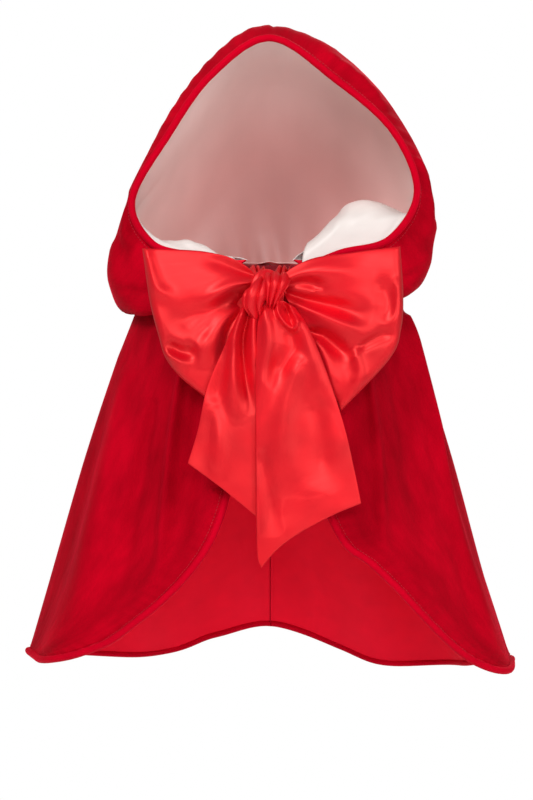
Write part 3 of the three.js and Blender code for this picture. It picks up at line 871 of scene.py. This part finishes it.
# Each loop's four sides: top and bottom run out from the knot, outer runs down.
RIGHT_LOOP = {
    "top": [(-8, 10), (-20, 21), (-35, 29), (-50, 33), (-72, 36), (-122, 38)],
    "outer": [(-122, 38), (-115, -12), (-106, -48), (-99, -70), (-84, -89), (-60, -109)],
    "bottom": [(-18, -16), (-32, -51), (-60, -109)],
    "inner": [(-8, 10), (-16, -2), (-18, -16)],
    "creases": [
        ([(-10, 1), (-19, -7), (-42, -16), (-71, -28), (-95, -43)], -7, 4, 14),
        ([(-8, 5), (-35, 0), (-60, -20), (-79, -39)], 5, 5, 12),
        ([(-8, 9), (-27, 17), (-50, 26), (-66, 30)], -3.5, 4, 9),
        ([(-25, -14), (-42, -26), (-58, -43), (-68, -62)], -6, 4, 10),
        ([(-27, -10), (-50, -35), (-60, -58), (-60, -82)], 5, 5, 10),
        ([(-99, -68), (-87, -71), (-75, -80)], 2.5, 4, 7),
        ([(-94, -58), (-80, -64), (-66, -58)], -4, 5, 8),
        ([(-118, 32), (-108, 1), (-97, -8), (-85, -10)], 3.5, 5, 8),
        ([(-23, -20), (-35, -39), (-42, -62), (-46, -82)], -5, 4, 8),
    ],
}
LEFT_LOOP = {
    "top": [(12, 8), (27, 20), (49, 29), (85, 34), (132, 40)],
    "outer": [(132, 40), (135, -8), (133, -40), (122, -70), (74, -122)],
    "bottom": [(24, -20), (46, -58), (74, -122)],
    "inner": [(12, 8), (18, -6), (24, -20)],
    "creases": [
        ([(12, -4), (31, -12), (70, -21), (104, -31)], -7, 4, 13),
        ([(16, 1), (35, 5), (54, 0), (52, -8)], -4, 4, 7),
        ([(16, 4), (44, 14), (74, 16), (104, 10)], 4, 5, 16),
        ([(16, -8), (41, -20), (75, -35), (108, -49)], 6, 4, 12),
        ([(43, -43), (60, -51), (85, -72)], -6, 5, 9),
        ([(52, -55), (62, -82), (66, -109)], 4, 6, 10),
        ([(114, 0), (120, -20), (112, -36)], -2.5, 8, 10),
        ([(130, 4), (129, -24), (118, -46)], 2.5, 5, 8),
        ([(94, -58), (108, -50), (128, -43)], -3, 4, 6),
        ([(88, -66), (92, -84), (86, -104)], 3, 5, 7),
    ],
}


def patch(sides, rows, columns):
    """A smooth patch of (x, z) between four sides: rows run along top and bottom, columns across."""
    top = smooth_line(sides["top"], rows)
    bottom = smooth_line(sides["bottom"], rows)
    inner = smooth_line(sides["inner"], columns)
    outer = smooth_line(sides["outer"], columns)
    p = np.linspace(0, 1, rows)[:, None, None]
    w = np.linspace(0, 1, columns)[None, :, None]
    ruled = (1 - w) * top[:, None] + w * bottom[:, None] + (1 - p) * inner[None] + p * outer[None]
    near_corners = (1 - p) * (1 - w) * top[0] + (1 - p) * w * bottom[0]
    far_corners = p * (1 - w) * top[-1] + p * w * bottom[-1]
    return ruled - near_corners - far_corners


def make_loop(name, sides):
    """The ribbon runs out from the knot, folds over at the outer end and comes back behind."""
    half, across = 100, 90
    flat = patch(sides, half, across)
    x, z = flat[:, :, 0] + KNOT[0], flat[:, :, 1] + KNOT[2]
    p = np.linspace(0, 1, half)[:, None]
    w = np.linspace(0, 1, across)[None, :]
    round_end = np.sqrt(np.clip(1 - np.clip((p - 0.93) / 0.07, 0, 1) ** 2, 0, 1))
    hollow = (3 + 7 * smoothstep(p, 0.0, 0.45)) * round_end * (0.55 + 0.45 * np.sin(math.pi * w) ** 0.5)
    fine = 0.5 * ripple(x / 30, z / 30, 83, 3) + 0.08 * ripple(x / 12, z / 12, 89, 3)
    face = 1.5 * creased(flat[:, :, 0], flat[:, :, 1], sides["creases"]) + fine
    behind = 2.5 * ripple(x / 40, z / 40, 97, 2.5)
    front = np.stack([x, KNOT[1] - hollow - face * round_end, z], 2)
    back = np.stack([x, KNOT[1] + hollow - behind * round_end * 0.6, z], 2)
    grid = np.vstack([front, back[-2::-1]]) * MM
    outward = 1 if sides["outer"][0][0] > 0 else -1
    return sheet_piece(name, grid, 0.9 * MM, [SATIN], outward)


RIGHT_TAIL = {
    "top": [(-20, -12), (-10, -14), (0, -18)],
    "inner": [(-20, -12), (-42, -61), (-58, -99), (-67, -140), (-77, -173)],
    "outer": [(0, -18), (-2, -86), (-4, -156), (-6, -228)],
    "bottom": [(-77, -173), (-56, -188), (-39, -201), (-6, -228)],
    "ahead": 15,
    "creases": [
        ([(-22, -21), (-31, -51), (-33, -89), (-27, -136)], 6, 4, 9),
        ([(-16, -24), (-23, -51), (-20, -89), (-13, -126)], -6, 4, 7),
        ([(-13, -26), (-13, -60), (-11, -86)], 4, 3, 6),
        ([(-36, -61), (-48, -106), (-54, -156)], -3, 6, 10),
        ([(-51, -116), (-46, -156), (-48, -191)], 3, 7, 10),
    ],
}
LEFT_TAIL = {
    "top": [(-6, -14), (10, -12), (28, -20)],
    "inner": [(-6, -14), (-10, -66), (-10, -166), (-9, -256), (-5, -275)],
    "outer": [(28, -20), (42, -42), (60, -86), (77, -139), (86, -178), (93, -212)],
    "bottom": [(-5, -275), (12, -256), (34, -240), (66, -223), (93, -212)],
    "ahead": 20,
    "creases": [
        ([(10, -10), (12, -26), (20, -38), (27, -41), (30, -32), (21, -16)], 4.5, 2.5, 3),
        ([(18, -18), (22, -28), (24, -35)], -4, 3, 3),
        ([(-2, -18), (2, -51), (-2, -86), (-5, -126)], 4, 5, 10),
        ([(23, -44), (25, -60), (12, -80), (-2, -96)], -4.5, 7, 13),
        ([(34, -36), (50, -78), (62, -126)], 3, 6, 12),
        ([(31, -76), (21, -109), (16, -156), (18, -206)], 4, 8, 16),
        ([(48, -116), (54, -156), (52, -201)], -3, 9, 14),
        ([(-4, -166), (4, -206), (6, -246)], -2, 6, 8),
    ],
}


def make_tail(name, sides):
    """One hanging end of the ribbon, ahead of the knot's middle by the outline's own distance."""
    across, down = 90, 170
    flat = patch(sides, across, down)
    x, z = flat[:, :, 0] + KNOT[0], flat[:, :, 1] + KNOT[2]
    fine = 0.6 * ripple(x / 34, z / 34, 101, 3) + 0.06 * ripple(x / 12, z / 12, 103, 3)
    share = np.linspace(0, 1, across)[:, None]
    rolled = 2.0 * np.abs(2 * share - 1) ** 6
    down_share = np.linspace(0, 1, down)[None, :]
    tucked = 7 * (1 - smoothstep(down_share, 0, 0.1))
    hang = 3 * smoothstep(down_share, 0.1, 0.9)
    folds = 1.4 * creased(flat[:, :, 0], flat[:, :, 1], sides["creases"])
    y = KNOT[1] - sides["ahead"] - folds - fine + rolled + tucked + hang
    grid = np.stack([x, y, z], 2) * MM
    return sheet_piece(name, grid, 1.0 * MM, [SATIN], 1)


def pleated_band(path, widths, pleats, twist, depth, wrap, rows=90, columns=70):
    """A band of pleats along a path of (x, y, z) from the knot; its long edges wrap back."""
    centre = smooth_line(path, rows) + KNOT
    width = np.interp(np.linspace(0, 1, rows), np.linspace(0, 1, len(widths)), widths)
    tangent = np.gradient(centre, axis=0)
    tangent /= np.linalg.norm(tangent, axis=1, keepdims=True)
    across = np.array([1.0, 0.0, 0.0]) - tangent * tangent[:, :1]
    across /= np.linalg.norm(across, axis=1, keepdims=True)
    out = np.cross(tangent, across)
    out /= np.linalg.norm(out, axis=1, keepdims=True)
    s = np.linspace(-0.5, 0.5, columns)[None, :]
    t = np.linspace(0, 1, rows)[:, None]
    ridge = np.abs(np.sin(math.pi * pleats * (s + twist * t + 0.5))) ** 0.7
    height = depth * ridge - wrap * np.abs(2 * s) ** 4
    points = centre[:, None] + across[:, None] * (s * width[:, None])[:, :, None]
    return points + out[:, None] * height[:, :, None]


def make_knot():
    """The two turns of ribbon over the knot's core, with paths given from its middle."""
    bands = [
        pleated_band(
            [(9, 5, 11), (10, -12, 11), (10, -23, 4), (8, -24, -5), (5, -20, -16), (3, -7, -24)],
            [26, 28, 26, 19, 11, 6], 3, 0.1, 4.0, 6),
        pleated_band(
            [(0, -7, 8), (-6, -20, 2), (-11, -26, -9), (-13, -23, -20), (-10, -16, -29), (-7, -5, -35)],
            [10, 17, 23, 22, 14, 7], 2, -0.25, 4.5, 9),
    ]
    pieces = []
    for name, grid in zip(("knot_wrap", "knot_under_wrap"), bands):
        piece = sheet_piece(name, grid * MM, 1.0 * MM, [SATIN], -1)
        pieces.append(piece)
    return pieces


def make_knot_core():
    """The gathered ribbon inside the knot, which fills it behind the wraps."""
    turn = np.linspace(0, 2 * math.pi, 61)[None, :]
    rise = np.linspace(-0.5 * math.pi + 0.02, 0.5 * math.pi - 0.02, 40)[:, None]
    pleat = 1 + 0.07 * np.sin(turn * 9)
    x = KNOT[0] + 17 * np.cos(rise) * np.cos(turn) * pleat
    y = KNOT[1] - 3 + 13 * np.cos(rise) * np.sin(turn) * pleat
    z = KNOT[2] - 5 + 23 * np.sin(rise) + 0 * turn
    grid = np.stack([x, y, z], 2) * MM
    return sheet_piece("knot_core", grid, 0.8 * MM, [SATIN], 1)


def make_tie(word, side):
    """The gathered strap from the neck binding to the back of the knot."""
    at_knot = KNOT + (6 * side + 1, 11, -4)
    path = [(14 * side, -50, -10), (13 * side, -72, -14), (10 * side, -95, -26), tuple(at_knot)]
    centre = smooth_line(path, 50)
    s = np.linspace(-0.5, 0.5, 40)[None, :]
    x = centre[:, 0][:, None] + 15 * s
    y = centre[:, 1][:, None] + 0 * s
    gathered = 2.0 + 3.0 * np.sin(np.linspace(0, math.pi, 50))[:, None]
    z = centre[:, 2][:, None] + gathered * np.sin(2 * math.pi * 2.5 * s + 0.8 * np.sin(8 * s))
    grid = np.stack([x, y, z], 2) * MM
    return sheet_piece(f"{word}_satin_tie", grid, 0.9 * MM, [SATIN], 1)


# ---------------------------------------------------------------- run

make_camera()
make_stage()

hood_base_grid = hood_grid()
hood_outer = hood_base_grid - grid_normals(hood_base_grid) * hood_detail(hood_base_grid)[:, :, None]
hood = sheet_piece("hood_shell", hood_outer, 1.4 * MM, [VELVET, KNIT], -1)
rim_welt, rim_stitches = make_hood_rim(hood_outer)
lining = make_lining(hood_outer)
for piece, slot in ((hood, "velvet"), (rim_welt, "piping"), (rim_stitches, "piping"), (lining, "lining")):
    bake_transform(piece)
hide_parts("hood_front", "hood_rear", "hood_base")
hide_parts("hood_front_lining", "hood_rear_lining", "hood_base_lining")
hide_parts("hood_rim_piping")

binding = make_neck_binding()
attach(binding, "cape")
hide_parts("neck_binding")

for word, side, edge in (("left", 1, LEFT_EDGE), ("right", -1, RIGHT_EDGE)):
    panel, welt, stitches = make_front(word, side, edge)
    back, hem, hem_stitches = make_back(word, side)
    tape = make_seam_tape(word, side)
    slots = ((panel, "velvet"), (welt, "piping"), (stitches, "piping"), (back, "velvet"), (hem, "piping"),
             (hem_stitches, "piping"), (tape, "binding"))
    for piece, slot in slots:
        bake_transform(piece)
    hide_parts(f"{word}_front_panel")
    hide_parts(f"{word}_front_piping")
    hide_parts("back_panel")
    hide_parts("back_hem_piping")
    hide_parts(f"{word}_side_seam_tape")

for word, sides, flat in (("left", LEFT_LOOP, (0.25, 0.135)), ("right", RIGHT_LOOP, (0.24, 0.125))):
    loop = make_loop(f"{word}_bow_loop", sides)
    side = 1 if word == "left" else -1
    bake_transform(loop)
    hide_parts(f"bow_{word}_loop")
for word, sides, flat, area in (
    ("left", LEFT_TAIL, (0.11, 0.26), 0.0205),
    ("right", RIGHT_TAIL, (0.08, 0.22), 0.0125),
):
    tail = make_tail(f"{word}_bow_tail", sides)
    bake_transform(tail)
    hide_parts(f"bow_{word}_tail")

core = make_knot_core()
wrap, under_wrap = make_knot()
for piece in (core, wrap, under_wrap):
    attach(piece, "cape")
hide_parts("bow_knot")
for word, side in (("left", 1), ("right", -1)):
    tie = make_tie(word, side)
    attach(tie, "cape")
    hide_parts(f"{word}_neck_tie")
